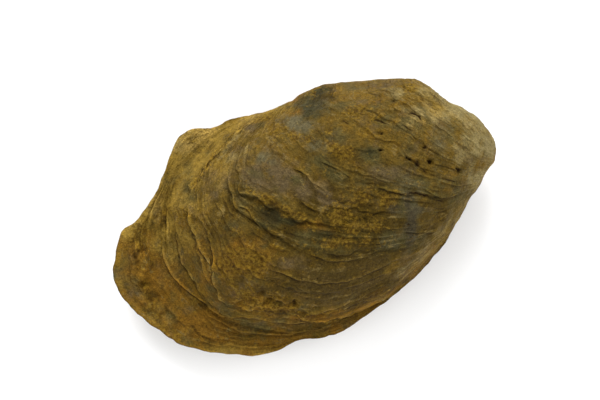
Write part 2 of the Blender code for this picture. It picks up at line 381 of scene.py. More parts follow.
# Lumps on the late flange: where, how wide and how high.
FLANGE_LUMPS = (
    (-43.7, 8, 1.1, 0.9), (-43.6, 5.2, 1.2, 1), (-43.8, 2.5, 1.4, 1.1), (-45.4, 0.3, 1.2, 0.9),
    (-45.1, -3.3, 1.1, 0.9), (-46.8, -4.9, 1.3, 1), (-46, -7.4, 1.1, 0.8), (-43.9, -8.4, 1.6, 0.6),
    (-46.2, -10.9, 1.5, 0.7), (-43.4, -13, 1.6, 0.6), (-45, -16.8, 1.7, 0.7), (-42.8, -19.5, 1.5, 0.6),
    (-39.7, -16.5, 1.8, 0.5), (-44.5, 11, 1.2, 0.5), (-45.1, -20.6, 1.3, 0.5), (-36.6, -23.7, 1.8, 0.4),
    (-31.9, -26.5, 1.6, 0.4), (-37.9, 14.1, 1.4, 0.5), (-36.5, 11.9, 1.2, 0.6), (-35.9, 9, 1.2, 0.5),
)

# Hollows where lumps of a sheet have broken away: where, how wide and how deep.
HOLLOWS = (
    (-8.2, 3.9, 2.6, 1.1), (-3.8, 0.6, 2, 0.6), (-21.9, -9.6, 1.6, 0.9), (-17.3, -13.7, 1.3, 0.7),
    (-32.4, -12.3, 1.5, 0.6), (-41.6, 1.3, 0.9, 0.5), (-41.6, 6.3, 1, 0.5), (-43.6, -5.6, 0.9, 0.5),
    (-14, -18.5, 1.2, 0.7), (-27.8, -9.6, 1.2, 0.5), (-9.8, -17.4, 1.2, 0.5), (12.2, 27.2, 2.4, 0.6),
    (19, 11.2, 1.5, 0.5), (31, 6.5, 1.2, 0.5), (-5.6, -2.6, 1.6, 0.5), (4.6, -6.2, 1.4, 0.5),
)

# Small borings and corroded holes: where, how wide, how deep.
PITS = (
    (34.4, 2.6, 0.75, 1.4), (23.4, 9.9, 0.55, 1.1), (29.3, 5.8, 0.40, 0.8), (30.1, 5, 0.40, 0.8),
    (34.5, 6.6, 0.45, 0.7), (40.8, -2.5, 0.55, 0.9), (40.5, -1.8, 0.40, 0.7), (25.3, 13.8, 0.45, 0.7),
    (30.8, 20.6, 0.40, 0.7), (-10.4, -19.6, 0.60, 0.9), (23.8, -10.8, 0.40, 0.7), (-2.8, -16, 0.35, 0.5),
    (-21, -9.6, 0.40, 0.5), (-6.3, -0.7, 0.40, 0.5),
)

# Cracks in the beak end: points along each, then its width and depth.
CRACKS = (
    (((33.7, 16.6), (35.2, 15.3), (35.8, 13.7), (36.1, 12.4)), 0.26, 0.6),
    (((30.4, 14.1), (32.0, 12.4), (32.7, 10.3), (33.7, 8.2), (34.5, 6.8)), 0.28, 0.7),
    (((24.6, 17.8), (26.1, 16.9), (27.0, 15.6)), 0.26, 0.5),
    (((23.3, 16.6), (24.3, 14.4), (24.8, 13.5)), 0.28, 0.5),
    (((17.0, 20.1), (18.4, 18.7)), 0.26, 0.4),
    (((29.3, 5.5), (30.6, 4.2), (31.9, 2.4)), 0.42, 0.8),
    (((30.9, 2.5), (34.5, -1.3), (37.5, -3.7), (40.7, -5.4)), 0.26, 0.4),
    (((21.9, -0.9), (24.4, -2.6), (28.7, -4.2), (33.2, -7.8), (35.7, -9.2)), 0.26, 0.45),
)

# Where the surface is smoother than elsewhere, and where it has crumbled, in the measures of PATCHES.
SMOOTH_PATCHES = (
    (2, 13, 13, 7, -38, 0.80), (20, 17, 13, 8, -40, 0.80), (33, 6, 9, 5, -40, 0.5),
    (-22, 24, 9, 6, 25, 0.6), (-39, -4, 6, 13, 20, 0.6), (43, 12, 12, 6, -55, 0.5),
    (6, -16, 16, 5, -22, 0.5),
)
CRUMBLED_PATCHES = (
    (-19, -15, 9, 4, -30, 1), (-44, 0, 3, 8, 8, 0.8), (-38, -17, 8, 3, -35, 0.7), (-30, 9, 4, 8, 10, 0.6),
    (12, -3, 9, 6, -10, 0.7), (-12, 24, 7, 2.5, 20, 0.5), (30, 8, 7, 5, -45, 0.6),
    (-10, -22, 8, 2.5, -25, 0.8),
)

# Patches of mineral and stain on the deep valve: where, half the length, half the width, how many degrees
# the length is turned from the shell's own length, and how strong.
PATCHES = {
    "ochre": (
        (14.1, 13, 3.1, 2.3, -40, 1.3), (22.1, 19.4, 4.4, 2.3, -30, 0.7), (35.5, 22.2, 4.1, 1.5, -35, 0.6),
        (17.6, 6.8, 1.8, 1, -20, 0.8), (13.4, 0.6, 3.9, 2.8, 0, 0.75), (20.6, -3.1, 2.3, 1.5, -20, 0.9),
        (8.2, -2.4, 3.4, 2.6, -20, 0.95), (10.9, -6.2, 3.9, 2.1, -20, 0.65),
        (16.3, -8.1, 2.8, 1.8, -20, 0.7), (6.9, -9.7, 8.8, 1.5, -20, 0.55),
        (-3.7, 2.7, 3.9, 1.3, -45, 1.4), (0.8, -2.5, 3.4, 1.3, -32, 0.9), (-7.1, 7, 3.1, 1, -45, 1.2),
        (-11.5, 11.3, 2.1, 1, -70, 0.7), (-20.2, -5.5, 6.2, 3.9, -10, 1.6),
        (-18.2, -16.1, 8.8, 3.4, -32, 0.6), (-11.3, -22.8, 4.6, 1.5, -30, 0.5), (-18, 22, 6, 0.8, 33, 1.5),
        (-0.5, 27.9, 3.6, 1, 2, 0.8), (-14.2, 23.9, 8, 0.8, 33, 1.1), (-0.3, 23.2, 3.4, 2.1, -30, 0.7),
        (5.4, 20, 4.1, 1.3, -32, 0.7), (-43.6, 5.5, 3.6, 1.5, 85, 0.6), (-45.2, -11.2, 2.3, 3.6, 15, 0.45),
        (-42, 12.6, 3.4, 1.5, 20, 0.5), (-23.5, 29.7, 3.6, 2.1, 15, 0.4), (13.5, 30.2, 3.4, 1, 0, 0.8),
        (-39.9, -17.8, 6.7, 2.3, -32, 0.35), (-45, -3.8, 2.1, 3, -20, 0.5),
        (14.2, 17.9, 3.1, 1.5, -40, 0.5), (-28.8, 1.4, 1, 4.1, -95, 0.4), (-30.6, 13.1, 1.3, 5.2, 60, 0.5),
        (-16.6, 1.1, 3.6, 2.1, -20, 0.35), (-27.6, -5.9, 1.3, 3.6, -90, 0.4),
    ),
    "slate": (
        (5.7, 23.2, 3.9, 2.1, -35, 1), (11.1, 26.7, 2.6, 3.4, 40, 0.4), (-4.9, 18.2, 3.4, 2.3, 10, 0.6),
        (8.2, 16.5, 2.8, 1.5, -45, 0.8), (26.2, -4.9, 3.1, 5.4, -20, 0.6), (-49.2, 0, 2.3, 2.4, -20, 0.2),
        (40, 7.4, 3.9, 3.6, -60, 0.4), (21.7, -14.2, 6.4, 2.6, -8, 0.3),
    ),
    "green": (
        (-8.4, 3.3, 3.6, 2.3, -45, 1), (8.9, 10.8, 6.2, 2.1, -55, 0.7), (20.7, 9.5, 2.6, 2.6, -20, 0.7),
        (31, -3.9, 11.6, 3.1, -28, 0.8), (19.3, -13.3, 6.2, 3.1, -10, 0.7), (-2, -5.6, 6.2, 2.1, -28, 0.6),
        (-22.5, 0, 2.3, 3.6, -80, 0.3), (-26, 17.5, 6, 2.5, 70, 0.4), (2.7, -10, 5.7, 1.8, -20, 0.4),
        (-48.9, -1, 3, 3.4, -20, 0.3), (-38.5, 1, 2.2, 5.5, 15, 0.15), (8.4, -9.4, 5.2, 3.6, -20, 0.35),
        (43.7, 8.5, 5.2, 2.1, -60, 0.4), (-31.1, -1, 1.5, 4.6, -90, 0.4), (11.1, 26.7, 2.6, 3.4, 40, 0.8),
        (26.2, -4.9, 3.1, 5.4, -20, 0.7), (-8.2, 14.6, 2.6, 1.2, -35, 0.45), (0.4, 10.2, 2.4, 1, -45, 0.5),
        (-3.2, 15.4, 1.8, 0.9, -20, 0.4),
    ),
    "mauve": (
        (-5.3, 13.2, 8, 3.9, -35, 0.9), (-6.2, 25.8, 3.6, 1.8, 30, 0.6), (-17.5, 16.5, 3, 5, 60, 0.5),
        (3.4, 5.6, 6.7, 2.3, -45, 0.9), (23.2, 3.4, 4.1, 2.3, -30, 0.7), (27.5, 2.4, 3.2, 1.8, -25, 0.5),
        (-5.6, 18.5, 3.6, 2.6, 10, 0.5), (0.8, -18.9, 16, 4.1, -20, 0.22),
        (-8.1, -9.4, 5.2, 2.1, -20, 0.4), (22.9, -20.7, 4.1, 7.7, -65, 0.4),
    ),
    "taupe": (
        (-3.4, 11, 3.4, 1.2, -40, 0.6), (1.5, -19.2, 16.5, 4.6, -22, 0.9),
        (-11.2, -25.5, 12.9, 2.1, -20, 0.5), (8.9, -15.6, 10.3, 3.1, -20, 0.7),
        (-30, -13.2, 3.1, 5.2, -80, 0.3), (-17.1, -13, 3.6, 1.5, -20, 0.7),
        (-29.1, 4.3, 2.1, 5.2, -95, 0.4),
    ),
    # pale: the shell's paler stone, and at the beak end partly painted light
    "pale": (
        (50, 0.5, 3.8, 8, 35, 0.72), (47.6, 10, 6.5, 2.6, -60, 0.65), (46, 12.5, 8, 2.4, -54, 0.8),
        (-21.5, 30.2, 4.5, 2.4, 25, 0.8), (-13.5, 23.6, 9.5, 0.7, 30, 0.35), (45, -5, 3.6, 2.4, 30, 0.5),
        (42.3, 15.9, 3.1, 1.3, -50, 0.7), (38.5, 18.5, 4.5, 1.8, -45, 0.5), (37.2, -13, 5, 1.6, 30, 0.2),
        (27.3, -17.6, 7, 1.4, 28, 0.15), (44.5, 3, 6, 6, -60, 0.25), (39.5, 13.2, 7.5, 2.2, -19, 0.55),
        (19.1, -21.5, 4.1, 1, 20, 0.4), (32.6, 22.4, 2.6, 1.3, -20, 0.4), (-10.3, 22.1, 3.6, 1.5, 25, 0.3),
        (-1, 21.5, 3, 2.4, -30, 0.35),
    ),
    # dark: a broad darkening over the middle of the dome and down its steep side
    "dark": (
        (8, -6, 26, 11, -22, 0.9), (4, -17, 24, 8, -20, 0.7), (22, -6, 14, 9, -25, 0.7),
        (-20, 4, 9, 11, -30, 0.45), (14, 8, 14, 7, -35, 0.55), (-3, 12, 12, 6, -35, 0.35),
        (12, 27, 5.5, 3.4, 5, 0.9), (-2, -4, 9, 6, -25, 0.7), (2, 5, 7, 5, -40, 0.5),
        (-10, -1, 7, 5, -40, 0.6), (-13.5, -7, 6, 4, -20, 0.8), (-13, -21.5, 8, 3, -30, 0.6),
        (1, -26.5, 9, 2.4, 0, 0.8), (19, -1, 8, 6, -20, 0.6), (8, 21.5, 6, 4, -30, 0.35),
        (17.5, 6.5, 4.5, 3, -20, 0.6), (39, 1, 5, 3, -40, 0.5), (10, -12, 20, 8, -20, 0.8),
        (11, -22.5, 8, 5, -20, 0.7), (27.5, 2, 5, 3, -20, 0.8), (18, -18.5, 6, 4, -25, 0.6),
    ),
    "mould": (
        (10.6, 25.8, 3, 2.2, 40, 1), (11, 23.6, 2.2, 1.5, 0, 0.7), (13.5, 29, 3.5, 1.2, 10, 0.6),
        (-8.2, 3.6, 2.6, 1.8, -45, 0.9), (-3.8, 0.4, 2.4, 1.2, -30, 0.6), (20.9, 10.3, 2.2, 1.2, 20, 0.5),
        (3, -5.6, 5, 1.2, -28, 0.4), (-11.5, 1.8, 2.4, 1.2, -60, 0.5),
    ),
    "blue": (
        (26.2, -4.9, 1.5, 3.4, -20, 0.6), (24.3, -11, 1.3, 4.4, -20, 0.8),
        (22.6, -15.4, 1.3, 2.4, -20, 0.5), (21.5, -5.5, 2, 1.4, -20, 0.5), (28, -8, 2.6, 1.2, -20, 0.4),
        (-5.2, 14.2, 2, 1.2, -20, 0.4),
    ),
    "rust": (
        (-43, -2, 9, 15, 10, 0.6), (-36, -18, 13, 7, -38, 0.7), (-47.5, 7, 2.5, 6, 30, 0.6),
        (-16, -27, 20, 4, -5, 0.75), (5, -28, 16, 3, 12, 0.5), (-20, -15, 10, 5, -30, 0.6),
        (-20, -4, 8, 5, -15, 0.85), (1, -3, 5, 1.4, -32, 0.6), (-28, -4, 5, 9, 10, 0.4),
        (22, -22, 8, 2.5, 28, 0.5), (33, 18, 5, 3, -40, 0.3), (8.6, 29.6, 3.6, 0.9, -4, 0.9),
        (6.4, 26.8, 3, 1, -10, 0.6),
    ),
    "flange": (
        (-22, 27, 12, 9, 20, 0.75), (-31.7, 17.6, 3.6, 10.3, 55, 0.75), (-34.7, 6.3, 3.1, 6.7, -105, 0.5),
        (-10.8, 28.3, 5.2, 3.1, 5, 0.6), (-18, 31, 9, 3.5, 12, 1), (-24.5, -27.8, 13, 1.8, -17, 0.5),
        (-12, -30.4, 5, 1.5, 0, 0.5), (-49.5, 4, 2.2, 5, -15, 0.45), (-21.3, 30, 5, 2.8, 25, 2.2),
        (-34.8, 6.5, 6.5, 1.8, 72, 0.55), (42, 15.5, 8, 3, -48, 0.7), (-41, 14.5, 8, 2.4, 25, 0.8),
        (0.5, 28.8, 6, 1.6, 0, 0.6), (32, -16, 9, 1.6, 27, 0.4),
    ),
    "buff": (
        (-19.5, 29.8, 5.5, 2.6, 15, 1), (-6, 28.8, 4.5, 1.6, 0, 0.25), (-36.5, 15.8, 4, 1.8, 35, 0.55),
        (-41.5, 13.4, 4, 1.5, 20, 0.4), (38.5, 13.6, 6, 2, -19, 0.35),
    ),
}
STEEP_STAINS = ("flange", "rust", "dark", "pale", "buff")  # these also lie where the valve is steep


# -------- irregular shapes and soft edges

TABLE = 48
LATTICE_LAYERS = 24
LATTICE = np.random.default_rng(7).uniform(-1, 1, (LATTICE_LAYERS, TABLE, TABLE, TABLE))
OCTAVE_SHIFT = 17.3  # keeps a layer's swells from lining up with its finer ones

PATCH_BLUNTNESS = 1.3  # how flat a patch is in the middle, and how far it fades at its named size
PATCH_FADE = 0.8
LINE_POINTS = 4  # in the smooth line of a ledge or crack, for every point it is given by


def uneven(places, size, layer, octaves=2):
    """Smooth irregular values of about -1 to 1, in swells of this size, with other ones in every layer."""
    total = np.zeros(len(places))
    for octave in range(octaves):
        table = LATTICE[(layer + octave) % LATTICE_LAYERS].ravel()
        cell = places * (2**octave / size) + OCTAVE_SHIFT * octave
        low = np.floor(cell)
        part = cell - low
        u, v, w = (part * part * (3 - 2 * part)).T
        x, y, z = low.astype(int).T % TABLE
        x_far, y_far, z_far = (x + 1) % TABLE, (y + 1) % TABLE, (z + 1) % TABLE
        sides = []
        for row in (x, x_far):
            near = (row * TABLE + y) * TABLE
            far = (row * TABLE + y_far) * TABLE
            front = table[near + z] + w * (table[near + z_far] - table[near + z])
            back = table[far + z] + w * (table[far + z_far] - table[far + z])
            sides.append(front + v * (back - front))
        total += (sides[0] + u * (sides[1] - sides[0])) * 0.5**octave
    return total


def patchy(irregular, mean, swing, least, most):
    """A strength that comes and goes about its mean, between two limits."""
    return np.clip(mean + swing * irregular, least, most)


def bell(distance, width=1.0, power=2):
    """1 at no distance and nearly 0 past the width, the more suddenly the higher the power."""
    return np.exp(-((distance / width) ** power))


def window(low, high, value, fade):
    """1 between low and high, fading out just inside them."""
    return eased(low, low + fade, value) * (1 - eased(high - fade, high, value))


def beside(x, y, points):
    """How far each place lies to the right of a line through the points, and how far along it, 0 to 1."""
    points = through(np.array(points), np.linspace(0, 1, LINE_POINTS * len(points)))
    start, end = points[:-1], points[1:]
    step = end - start
    length = np.linalg.norm(step, axis=1)
    off = np.stack([x, y], axis=1)[:, None, :] - start
    share = np.clip((off * step).sum(axis=2) / length**2, 0, 1)
    away = np.linalg.norm(off - share[..., None] * step, axis=2)
    near = away.argmin(axis=1)
    row = np.arange(len(x))
    side = np.sign(off[..., 1] * step[:, 0] - off[..., 0] * step[:, 1])[row, near]
    run = np.concatenate([[0], np.cumsum(length)])
    along = (run[near] + share[row, near] * length[near]) / run[-1]
    return -side * away[row, near], along


def patch_over(x, y, at_x, at_y, half_length, half_width, bearing, strength):
    """How strongly a patch shows at each place."""
    turned = math.radians(bearing)
    along = (x - at_x) * math.cos(turned) + (y - at_y) * math.sin(turned)
    across = (y - at_y) * math.cos(turned) - (x - at_x) * math.sin(turned)
    out = ((along / half_length) ** 2 + (across / half_width) ** 2) ** PATCH_BLUNTNESS
    return strength * np.exp(-out * PATCH_FADE)


def spots(table, x, y, fray=0.0):
    """For every round spot of a table, how many of its widths off each place is, and its height or depth."""
    for at_x, at_y, radius, height in table:
        yield np.hypot(x - at_x, y - at_y) / radius + fray, height


def growth_speed(age, turn):
    """How many millimetres of shell were laid down per unit of age."""
    ages, turns = np.linspace(0, 1, SPEED_ROWS + 1), np.linspace(0, 1, SPEED_COLUMNS + 1)
    speed = np.linalg.norm(np.gradient(plan(ages, turns), ages, axis=0), axis=2)
    row, column = np.clip(age, 0, 1) * SPEED_ROWS, turn * SPEED_COLUMNS
    r = np.minimum(row.astype(int), SPEED_ROWS - 1)
    c = np.minimum(column.astype(int), SPEED_COLUMNS - 1)
    u, v = row - r, column - c
    return (
        speed[r, c] * (1 - u) * (1 - v) + speed[r + 1, c] * u * (1 - v)
        + speed[r, c + 1] * (1 - u) * v + speed[r + 1, c + 1] * u * v
    )


# -------- relief

# Lengths are in millimetres. The layer an effect is given picks its own swells and bends.
MARGIN_CALM = 0.6  # the share of the relief that is gone at the margin
WANDER, SMALL_WANDER, CRUMBLED_WANDER = 0.80, 0.30, 0.45  # how far growth lines stray, more if crumbled
EDGE = 0.2  # over about how far a sheet's edge drops
CURL = 0.45  # how far inside its edge a sheet curls up, as a share of its reach
LIGHT_LINE, DARK_LINE, DARK_SHARE = -0.28, 0.30, 1.2  # the painted highlight and painted shadow lines beside a sheet's edge
CROWDED = 55  # where growth was slower than this, sheets are crowded and thinner
HALT_BENDS, HALT_PATCHES = 3.0, 10.0  # the size of a halt's bends, and of its more and less worn stretches
FINE_SHEETS = 70  # between one end and the other, besides the named halts
FIRST_SHEET, SHEETS_RUN = 0.02, 0.97  # the first one's age, and the ages they all take up
SHEET_JITTER, SHEET_TILT, SHEET_WANDER = 0.4, 0.014, 0.6  # in sheets, in age and in millimetres
SHEET_DROPS, SHEET_REACHES = (0.15, 0.75), (0.5, 1.5)  # each from the least to the most
LEAST_GAP = 1e-4  # in age, between one sheet's edge and the next
LEDGE_WANDER, LEDGE_SHADE = 0.6, 1.2  # how much a ledge strays as growth lines do, and how strongly its painted light and shade show
NOT_BESIDE = 2  # further from a ledge or crack than its colour goes
# how high the ridge and its nodules rise, and how much painted highlight they get
RIDGE_RISE, NODULE_RISE, RIDGE_SHADE, NODULE_SHADE = 0.7, 1.0, 0.2, 1.2
LUMP_RISE, FOOT_RING, FOOT_SHADE = 1.1, 1.35, 0.6  # a lump gets a painted highlight on top and painted shade round its foot, this many widths out
UNEVENNESS = ((0.45, 13.0, 8), (0.24, 4.2, 9), (0.20, 1.6, 10))  # the swells all over: height, size, layer
CRUST_THICKNESS, CRUST_ROUGHNESS = 0.25, 0.50
CRUMBLE_RISE, CRUMBLE_DEPTH = 0.45, 1.4  # of the crumbled stretches and of the gaps between their crumbs
FIRST_STAIN_LAYER, STAIN_SWELLS = 12, 3.0
INNER_RAG, OUTER_RAG = 0.45, 0.18  # how ragged a stain is within and about its edge
RING_DEPTH, RING_RATE = 0.34, 95  # of the lid valve's grooves: how deep, and radians from margin to middle
FAR_OFF = 3.0  # further from a hole than any shows, in its own widths
MIDDLE = 8  # places nearer the middle than this are worn as if they were this far out


class Skin:
    """The plain shell's surface and the relief and fields it gets, each a value for every vertex."""

    def __init__(self, mesh):
        self.places, self.normals = read_places(mesh), read_vectors(mesh, "normal")
        self.x, self.y = self.places[:, 0], self.places[:, 1]
        self.age, self.turn, self.lid = (read_field(mesh, name) for name in ("age", "turn", "lid"))
        unrolled = (self.turn * LINE_LENGTH, self.age * GROWTH_LENGTH, self.lid * LID_LENGTH)
        self.sheet = np.stack(unrolled, axis=1)
        self.speed = growth_speed(self.age, self.turn)
        self.deep = self.lid == 0
        self.top = self.deep & (self.age >= 0)
        inside = window(0, 1, self.turn, fade=0.05) * (1 - MARGIN_CALM * eased(0.97, 1, self.age))
        self.calm = inside * eased(-0.10, -0.02, self.age) * self.deep
        self.crumbled = self.under(CRUMBLED_PATCHES)
        small = self.uneven(SMALL_WANDER + CRUMBLED_WANDER * self.crumbled, size=2.0, layer=2)
        self.wobble = WANDER * uneven(self.sheet, size=9.0, layer=0) + small
        self.height = self.level(0)
        self.fields = {}

    def level(self, value):
        return np.full(len(self.age), float(value))

    def uneven(self, amount, size, layer, octaves=2):
        return amount * uneven(self.places, size, layer, octaves)

    def under(self, patches):
        """How strongly the strongest of these patches shows at each place."""
        field = self.level(0)
        for patch in patches:
            field = np.maximum(field, patch_over(self.x, self.y, *patch))
        return field


def lip(distance, drop, reach):
    """The height about a sheet's free edge: it curls up to the edge, drops, and recovers slowly beyond."""
    run = np.where(distance < 0, CURL * reach, reach)
    return drop * (np.tanh(distance / run) - np.tanh(distance / EDGE)) / 2


def edge_highlight_and_shadow(distance, drop):
    """The painted highlight just inside a sheet's edge, and the painted shadow just beyond it."""
    light = bell(distance - LIGHT_LINE, width=0.30)
    return drop * (light - DARK_SHARE * bell(distance - DARK_LINE, width=0.32))


def growth_sheets(skin):
    """For every growth sheet, inmost first, the age of its free edge everywhere, its drop and its reach."""
    dice = np.random.default_rng(11)
    room = np.clip(skin.speed / CROWDED, 0, 1)
    lined = 1 - skin.under(SMOOTH_PATCHES)
    laid = []
    for turn_0, age_0, turn_1, age_1, drop, reach, ragged in HALTS:
        layer = 5 + int(30 * age_0)
        stray = ragged * uneven(skin.places, HALT_BENDS, layer) / GROWTH_LENGTH
        at = age_0 + (age_1 - age_0) * (skin.turn - turn_0) / (turn_1 - turn_0) + stray
        worn = patchy(uneven(skin.sheet, HALT_PATCHES, layer), mean=0.85, swing=0.6, least=0.15, most=1.6)
        laid.append((at, drop * worn * window(turn_0, turn_1, skin.turn, fade=0.12) * room, reach))
    for number in range(FINE_SHEETS):
        jittered = number + dice.uniform(-SHEET_JITTER, SHEET_JITTER)
        tilt = dice.uniform(-SHEET_TILT, SHEET_TILT) * (skin.turn - 0.5)
        own = uneven(skin.sheet * (1, 0.2, 1), size=9.0, layer=number % 20, octaves=3)
        at = FIRST_SHEET + SHEETS_RUN * jittered / FINE_SHEETS + tilt + SHEET_WANDER * own / GROWTH_LENGTH
        worn = patchy(own, mean=0.4, swing=1.3, least=0, most=1.3)
        laid.append((at, dice.uniform(*SHEET_DROPS) * worn * room * lined, dice.uniform(*SHEET_REACHES)))
    laid.sort(key=lambda one: one[0].mean())
    ats, drops, reaches = zip(*laid)
    ats = np.maximum.accumulate(ats, axis=0) + np.arange(len(laid))[:, None] * LEAST_GAP
    return ats, drops, reaches


def lay_growth(skin):
    """Raises and drops the edges of the growth sheets, notes their painted highlight and painted shadow, and
    numbers the sheets for the colour.
    """
    growth = skin.age + skin.wobble / GROWTH_LENGTH
    ats, drops, reaches = growth_sheets(skin)
    tone, sheets = skin.level(0), skin.level(0)
    for at, drop, reach in zip(ats, drops, reaches):
        distance = (growth - at) * skin.speed
        skin.height += lip(distance, drop, reach)
        tone += edge_highlight_and_shadow(distance, drop)
    for at, after in zip(ats[:-1], ats[1:]):
        sheets += np.clip((growth - at) / (after - at), 0, 1)
    ledge = sum(np.clip(1 - abs(sheets - number), 0, 1) * drop for number, drop in enumerate(drops))
    # a painted highlight just inside each sheet's edge, and the painted shadow (groove) just beyond it
    edge_highlights, grooves = np.clip(tone, 0, 1) * skin.calm, np.clip(-tone, 0, 1) * skin.calm
    skin.fields.update(lip=edge_highlights, groove=grooves, sheets=sheets, ledge=ledge * skin.calm)


def lay_ledges(skin):
    """Adds the short ledges, and notes how far each place lies beyond the nearest one and how strongly its
    painted light and shade show there.
    """
    side, shelf = skin.level(NOT_BESIDE), skin.level(0)
    worn = patchy(skin.uneven(1, size=6.0, layer=11), mean=0.9, swing=0.6, least=0.2, most=1.4)
    for points, drop, reach in LEDGES:
        distance, along = beside(skin.x, skin.y, points)
        distance += LEDGE_WANDER * skin.wobble
        here = window(0, 1, along, fade=0.2) * skin.top * worn
        skin.height += lip(distance, drop, reach) * here
        nearer = abs(distance) < abs(side)
        side = np.where(nearer, distance, side)
        shelf = np.where(nearer, np.minimum(LEDGE_SHADE * drop, 1) * here, shelf)
    skin.fields.update(shelf=shelf * bell(side, width=0.95, power=4) * skin.calm, shelf_side=side)


def spread_stains(skin):
    """Notes how strongly every stain shows, with ragged edges."""
    stained = skin.deep * eased(HINGE_AGE, -0.005, skin.age)
    facing_up = eased(0.05, 0.40, skin.normals[:, 2])
    for layer, (name, patches) in enumerate(PATCHES.items(), start=FIRST_STAIN_LAYER):
        field = skin.under(patches)
        ragged = skin.uneven(1, STAIN_SWELLS, layer, octaves=3)
        shown = stained if name in STEEP_STAINS else stained * facing_up
        field = field * (1 + INNER_RAG * ragged) + OUTER_RAG * ragged * (field > 0.02)
        skin.fields[name] = np.clip(field, 0, 1) * shown


def roughen(skin):
    """Adds the swells all over, the crust and the crumbled stretches."""
    skin.height += sum(skin.uneven(*swell) for swell in UNEVENNESS)
    skin.height += skin.fields["ochre"] * (CRUST_THICKNESS + skin.uneven(CRUST_ROUGHNESS, size=1.4, layer=3))
    crumbs = abs(skin.uneven(1, size=2.8, layer=4, octaves=3))
    skin.height += skin.crumbled * (CRUMBLE_RISE - CRUMBLE_DEPTH * crumbs) * skin.top


def raise_lumps(skin):
    """Adds the nodular ridge and the lumps of the late flange, and notes their painted highlight and the
    painted shade round the lumps' feet.
    """
    distance, along = beside(skin.x, skin.y, NODULES)
    ridge = bell(distance, width=1.3) * window(0, 1, along, fade=0.15) * skin.top
    nodular = skin.uneven(1, size=1.9, layer=6)
    skin.height += ridge * (RIDGE_RISE + NODULE_RISE * nodular)
    lump_light_and_shade = ridge * (RIDGE_SHADE + NODULE_SHADE * nodular)
    fray = skin.uneven(0.3, size=1.6, layer=7)
    for away, tall in spots(FLANGE_LUMPS, skin.x, skin.y, fray):
        swell = bell(away.clip(0), power=3)
        skin.height += LUMP_RISE * tall * swell * skin.top
        lump_light_and_shade += tall * (swell - FOOT_SHADE * bell(away - FOOT_RING, width=0.35)) * skin.top
    skin.fields["lump_light_and_shade"] = np.clip(lump_light_and_shade, -1, 1) * skin.calm


def break_hollows(skin):
    """Takes out the hollows."""
    hollow = skin.level(0)
    fray = skin.uneven(0.35, size=2.0, layer=17)
    for away, depth in spots(HOLLOWS, skin.x, skin.y, fray):
        scoop = depth * bell(away.clip(0), power=3) * skin.top
        skin.height -= scoop
        hollow = np.maximum(hollow, scoop)
    skin.fields["hollow"] = hollow


def bore_and_crack(skin):
    """Sinks the small holes and the cracks."""
    x = skin.x + skin.uneven(0.35, size=1.3, layer=16)
    y = skin.y + skin.uneven(0.35, size=1.3, layer=18)
    hole = skin.level(FAR_OFF)
    for away, depth in spots(PITS, x, y):
        skin.height -= depth * bell(away, power=4) * skin.top
        hole = np.minimum(hole, away)
    side, crack = skin.level(NOT_BESIDE), skin.level(0)
    gaping = patchy(skin.uneven(1, size=2.2, layer=19), mean=0.8, swing=0.9, least=0, most=1)
    for points, width, depth in CRACKS:
        distance, along = beside(x, y, points)
        here = window(0, 1, along, fade=0.2) * gaping * skin.top
        skin.height -= depth * bell(distance, width) * here
        nearer = abs(distance) < abs(side)
        side = np.where(nearer, distance / width, side)
        crack = np.where(nearer, here, crack)
    skin.fields.update(hole=hole + FAR_OFF * (1 - skin.top), crack=crack * bell(side, width=3.5, power=4))
    skin.fields["crack_side"] = side


def ring_lid(skin):
    """Sinks the grooves between the lid valve's rings."""
    rings = (skin.lid > 0) * window(0.02, 0.80, skin.lid, fade=0.12)
    ringed = np.sin(skin.lid * RING_RATE + skin.uneven(2.5, size=12.0, layer=14))
    ringed += skin.uneven(0.7, size=3.0, layer=15, octaves=3)
    skin.height += rings * RING_DEPTH * np.minimum(ringed, 0)


def paint_margin_highlight(skin):
    """Notes where the margin gets a painted highlight."""
    from_hinge = np.minimum(skin.turn, 1 - skin.turn) * LINE_LENGTH
    from_margin = np.minimum((1 - skin.age) * skin.speed, from_hinge)
    margin_highlight = 1 - np.where(skin.lid > 0, eased(0, 0.2, skin.lid), eased(0.4, 2.6, from_margin))
    skin.fields["margin_highlight"] = margin_highlight * (skin.age >= 0)


def outline_wear(skin):
    """How far the worn outline stands out from its smooth run, in millimetres."""
    near_hinge = np.maximum(1 - eased(0, 0.03, skin.turn), eased(0.97, 1, skin.turn))
    on_margin = np.maximum(eased(0.94, 1, skin.age), near_hinge)
    on_edge = np.where(skin.lid > 0, 1 - eased(0, 0.3, skin.lid), on_margin)
    flat = skin.places * (1, 1, 0)
    return on_edge * (0.10 * uneven(flat, size=5.0, layer=20) + 0.14 * uneven(flat, size=1.7, layer=21))


def carve(shell):
    """Moves the plain shell's surface in and out along its normals, and notes what each place is made of and
    where light and shade are painted on it.
    """
    skin = Skin(shell.data)
    for work in (lay_growth, lay_ledges, spread_stains, roughen, raise_lumps, break_hollows):
        work(skin)
    skin.height *= skin.calm
    for work in (bore_and_crack, ring_lid, paint_margin_highlight):
        work(skin)
    skin.places += skin.normals * skin.height[:, None]
    skin.places[:, :2] *= 1 + (outline_wear(skin) / np.hypot(skin.x, skin.y).clip(MIDDLE))[:, None]
    skin.places[:, 2] = np.maximum(skin.places[:, 2], 0)
    write_places(shell.data, skin.places)
    for name, values in skin.fields.items():
        write_field(shell.data, name, values)


# -------- colour

UMBER, TAN = (0.094, 0.062, 0.012), (0.160, 0.100, 0.015)
RUSSET = (0.178, 0.091, 0.006)
MOSS = (0.090, 0.080, 0.035)
BRUISE = (0.124, 0.088, 0.050)
CRUST_DARK, CRUST_LIGHT = (0.078, 0.040, 0.004), (0.272, 0.170, 0.020)
# the warmer tint that the painted shade takes
SHADE_TINT = (1.0, 0.91, 0.48)
